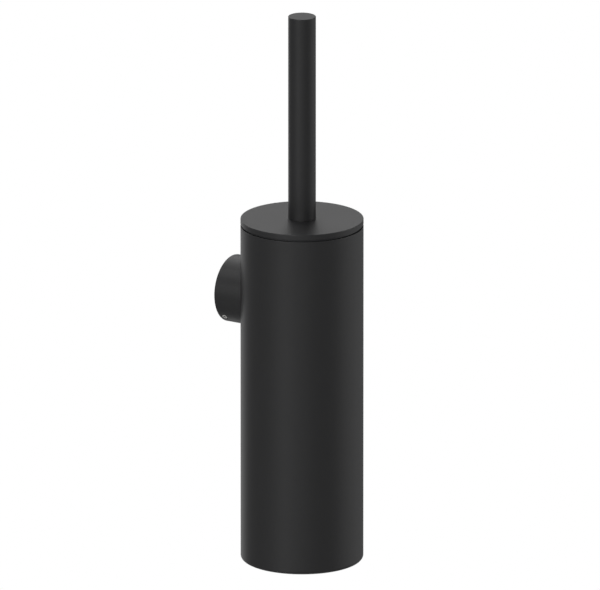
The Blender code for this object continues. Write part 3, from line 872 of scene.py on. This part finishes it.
def make_centring_disc():
    low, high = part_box("centring_disc")
    radius = (high.x - low.x) / 2
    inner = radius - DISC_SKIRT
    web = high.z - DISC_WEB
    hub = web - HUB_DEPTH
    corners = [(ROD_HOLE, web, 0), (HUB_INNER, web, BORE_EDGE), (HUB_INNER, hub, BORE_EDGE)]
    corners += [(HUB_OUTER, hub, BORE_EDGE), (HUB_OUTER, web, BORE_EDGE), (inner, web, DISC_EDGE)]
    corners += [(inner, low.z, DISC_EDGE), (radius, low.z, DISC_EDGE), (radius, high.z, BORE_EDGE)]
    corners += [(ROD_HOLE, high.z, 0)]
    skin = turned(rounded(corners), closed=True)
    disc = finish_mesh("centring_disc_moulding", skin, black_plastic, can_axis)
    reach = inner - HUB_OUTER + 2 * RIB_SINK
    for k in range(RIB_COUNT):
        turn = math.tau * (k + 0.5) / RIB_COUNT
        away = Vector((math.cos(turn), math.sin(turn), 0)) * (HUB_OUTER - RIB_SINK)
        root = can_axis + away + Vector((0, 0, web + RIB_SINK))
        rib = finish_mesh("rib", make_rib(reach, HUB_DEPTH), black_plastic, root, (0, 0, turn))
        combine(disc, rib, "UNION")
    mount(disc, "brush", "black_plastic", "centring_disc")


def make_nut():
    low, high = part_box("lid_nut")
    chamfer = (NUT_CORNER - NUT_FLAT) * NUT_SLOPE
    rows = [chamfer * k / NUT_ROWS for k in range(NUT_ROWS + 1)]
    sides = [(NUT_CORNER, low.z + row) for row in rows]
    sides += [(NUT_CORNER, high.z - row) for row in rows[::-1]]
    tap = thread(FEMALE_CREST, low.z, high.z, M8_PITCH, -FEMALE_DEPTH)

    def rule(radius, angle, z):
        if radius < NUT_FLAT:
            return tap(radius, angle, z)
        corner = angle % (math.pi / 3) - math.pi / 6
        inset = min(z - low.z, high.z - z) / NUT_SLOPE
        return min(NUT_FLAT / math.cos(corner), NUT_FLAT + inset)

    skin = reshape(turned(tapped(sides, low.z, high.z), NUT_STEPS, closed=True), rule)
    nut = finish_mesh("thin_hex_nut", skin, steel, can_axis)
    mount(nut, "brush", "stainless_steel", "lid_nut")


make_centring_disc()
make_washer("lid_washer", ROD_HOLE, "brush", (0.0, 0.0, 0.0))
make_nut()

# ---------------------------------------------------------------------------------------------
# Core: moulded black plastic bar that holds the tufts. The rod's lower thread sits in the socket in
# its upper end, which tapers so that water runs off it.
# ---------------------------------------------------------------------------------------------
CORE_EDGE = 0.8 * MM
CORE_TAPER = 12 * MM
CORE_TOP_RADIUS = 7 * MM
CORE_SOCKET_END = 2 * MM


def make_core():
    low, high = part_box("brush_core")
    radius = (high.x - low.x) / 2
    shoulder = high.z - CORE_TAPER
    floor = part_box("brush_rod")[0].z - CORE_SOCKET_END
    corners = [(0, low.z, 0), (radius, low.z, CORE_EDGE), (radius, shoulder, CORE_EDGE)]
    corners += [(CORE_TOP_RADIUS, high.z, CORE_EDGE), (ROD_HOLE, high.z, BORE_EDGE)]
    outline = rounded(corners + [(ROD_HOLE, floor, 0), (0, floor, 0)])
    core = finish_mesh("moulded_core", turned(outline), black_plastic, can_axis)
    mount(core, "brush", "black_plastic", "brush_core")


make_core()

# ---------------------------------------------------------------------------------------------
# Bristles: nylon filaments, stapled into the core in eight staggered rows of tufts, with a
# splayed cluster under its end. Each filament is crimped a little and cut almost to one length.
# ---------------------------------------------------------------------------------------------
ROW_COUNT = 8
TUFTS_PER_ROW = 12
STRANDS_PER_TUFT = 34
STRAND_RADIUS = 0.2 * MM
STRAND_SIDES = 5
STRAND_STEPS = 6
STRAND_SHARP = 80.0
CRIMP = 0.16 * MM
TUFT_RADIUS = 1.7 * MM
TIP_SPREAD = math.radians(12.0)
TIP_HALF_HEIGHT = 4.5 * MM
TIP_UNEVEN = 1.0 * MM
ROOT_GAP = 0.05 * MM
# Radius of each ring of end tufts, how many tufts it has, and how far they splay.
END_RINGS = [(2.6 * MM, 6, 0.35), (7.4 * MM, 12, 1.0)]
END_REACH = 21.5 * MM
END_SPREAD = 2.6 * MM
END_INNER_REACH = 0.45
CRIMP_WAVES = (1.5, 3.0)
CRIMP_GROWTH = 3
NYLON_DARK = "1E1E1F"
NYLON_LIGHT = "303031"
NYLON_IOR = 1.53
NYLON_ROUGHNESS = 0.38
NYLON_SMOOTHER = 0.08
NYLON_ROUGHER = 0.10
DRAWN_MARK = 0.5 * MM
DRAWN_HEIGHT = 0.01 * MM
DRAWN_BUMP = 0.3


def nylon():
    """Black nylon filament, shiny along its length; no two filaments are quite the same tone."""
    made = new_material("black_nylon_filament", NYLON_DARK, NYLON_ROUGHNESS, ior=NYLON_IOR)
    tree = made.node_tree
    strand = add(tree, "ShaderNodeNewGeometry").outputs["Random Per Island"]
    place = add(tree, "ShaderNodeTexCoord").outputs["Object"]
    colour = add(tree, "ShaderNodeMix", {"data_type": "RGBA"}, {"Factor": strand})
    colour.inputs["A"].default_value = linear(NYLON_DARK)
    colour.inputs["B"].default_value = linear(NYLON_LIGHT)
    drawn = add(tree, "ShaderNodeTexNoise", {"Scale": 1 / DRAWN_MARK, "Detail": 2}, {"Vector": place})
    rough = add(tree, "ShaderNodeMapRange", {}, {"Value": drawn.outputs["Fac"]})
    rough.inputs["To Min"].default_value = NYLON_ROUGHNESS - NYLON_SMOOTHER
    rough.inputs["To Max"].default_value = NYLON_ROUGHNESS + NYLON_ROUGHER
    bump = add(
        tree,
        "ShaderNodeBump",
        {"Strength": DRAWN_BUMP, "Distance": DRAWN_HEIGHT},
        {"Height": drawn.outputs["Fac"]},
    )
    shader = shader_of(made)
    tree.links.new(colour.outputs["Result"], shader.inputs["Base Color"])
    tree.links.new(rough.outputs["Result"], shader.inputs["Roughness"])
    tree.links.new(bump.outputs["Normal"], shader.inputs["Normal"])
    return made


def strand(dice, root, tip):
    """Points of one crimped filament from its root to its tip."""
    side = (tip - root).orthogonal().normalized()
    other = side.cross(tip - root).normalized()
    start = dice.uniform(0, math.tau)
    waves = dice.uniform(*CRIMP_WAVES)
    points = []
    for k in range(STRAND_STEPS + 1):
        share = k / STRAND_STEPS
        turn = start + waves * math.tau * share
        crimp = CRIMP * min(1.0, CRIMP_GROWTH * share)
        bent = side * (crimp * math.sin(turn)) + other * (crimp * math.cos(turn))
        points.append(root.lerp(tip, share) + bent)
    return points


def tube(bm, points):
    """Closed thin tube along the points of one filament."""
    side = (points[-1] - points[0]).orthogonal()
    rings = []
    for k, point in enumerate(points):
        ahead = points[min(k + 1, len(points) - 1)] - points[max(k - 1, 0)]
        across = ahead.cross(side).normalized() * STRAND_RADIUS
        up = across.cross(ahead).normalized() * STRAND_RADIUS
        turns = [math.tau * i / STRAND_SIDES for i in range(STRAND_SIDES)]
        rings.append([bm.verts.new(point + across * math.cos(a) + up * math.sin(a)) for a in turns])
    bm.faces.new(rings[0])
    bm.faces.new(rings[-1][::-1])
    for near, far in zip(rings, rings[1:]):
        for i in range(STRAND_SIDES):
            j = (i + 1) % STRAND_SIDES
            bm.faces.new((near[i], far[i], far[j], near[j]))


def in_disc(dice):
    """Random point of the unit disc, evenly spread."""
    turn = dice.uniform(0, math.tau)
    reach = math.sqrt(dice.random())
    return reach * math.cos(turn), reach * math.sin(turn)


def make_row(index):
    node = f"bristle_row_{index + 1}"
    low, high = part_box(node)
    core_low, core_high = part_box("brush_core")
    core_radius = (core_high.x - core_low.x) / 2
    tip_radius = (high.x - low.x) / 2
    dice = random.Random(index)
    bm = bmesh.new()
    for tuft in range(TUFTS_PER_ROW):
        middle = math.tau * (tuft + 0.5 * (index % 2)) / TUFTS_PER_ROW
        for _ in range(STRANDS_PER_TUFT):
            x, z = in_disc(dice)
            root_turn = middle + x * TUFT_RADIUS / core_radius
            tip_turn = middle + x * TIP_SPREAD
            reach = core_radius + ROOT_GAP + STRAND_RADIUS
            root = Vector((math.cos(root_turn), math.sin(root_turn), 0)) * reach
            root.z = z * TUFT_RADIUS
            reach = tip_radius - STRAND_RADIUS - CRIMP - dice.uniform(0, TIP_UNEVEN)
            tip = Vector((math.cos(tip_turn), math.sin(tip_turn), 0)) * reach
            tip.z = z * (TIP_HALF_HEIGHT - CRIMP)
            tube(bm, strand(dice, root, tip))
    centre = can_axis + Vector((0, 0, (low.z + high.z) / 2))
    row = finish_mesh(f"tufts_of_row_{index + 1}", bm, filament, centre, sharp=STRAND_SHARP)
    mount(row, "brush", "black_bristle", node)


def make_end_tufts():
    low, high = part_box("end_tuft")
    top = high.z - ROOT_GAP
    dice = random.Random(ROW_COUNT)
    bm = bmesh.new()
    for ring, count, splay in END_RINGS:
        for tuft in range(count):
            turn = math.tau * (tuft + 0.5) / count
            out = Vector((math.cos(turn), math.sin(turn), 0))
            around = Vector((-out.y, out.x, 0))
            for _ in range(STRANDS_PER_TUFT):
                x, y = in_disc(dice)
                root = out * (ring + x * TUFT_RADIUS) + around * (y * TUFT_RADIUS)
                share = END_INNER_REACH + (1 - END_INNER_REACH) * (x + 1) / 2
                reach = ring + (END_REACH - ring) * splay * share
                tip = out * reach + around * (y * (1 + splay) * END_SPREAD)
                root.z = top
                tip.z = low.z + CRIMP + dice.uniform(0, TIP_UNEVEN)
                tube(bm, strand(dice, root, tip))
    tufts = finish_mesh("end_tufts", bm, filament, can_axis, sharp=STRAND_SHARP)
    mount(tufts, "brush", "black_bristle", "end_tuft")


filament = nylon()
for index in range(ROW_COUNT):
    make_row(index)
make_end_tufts()
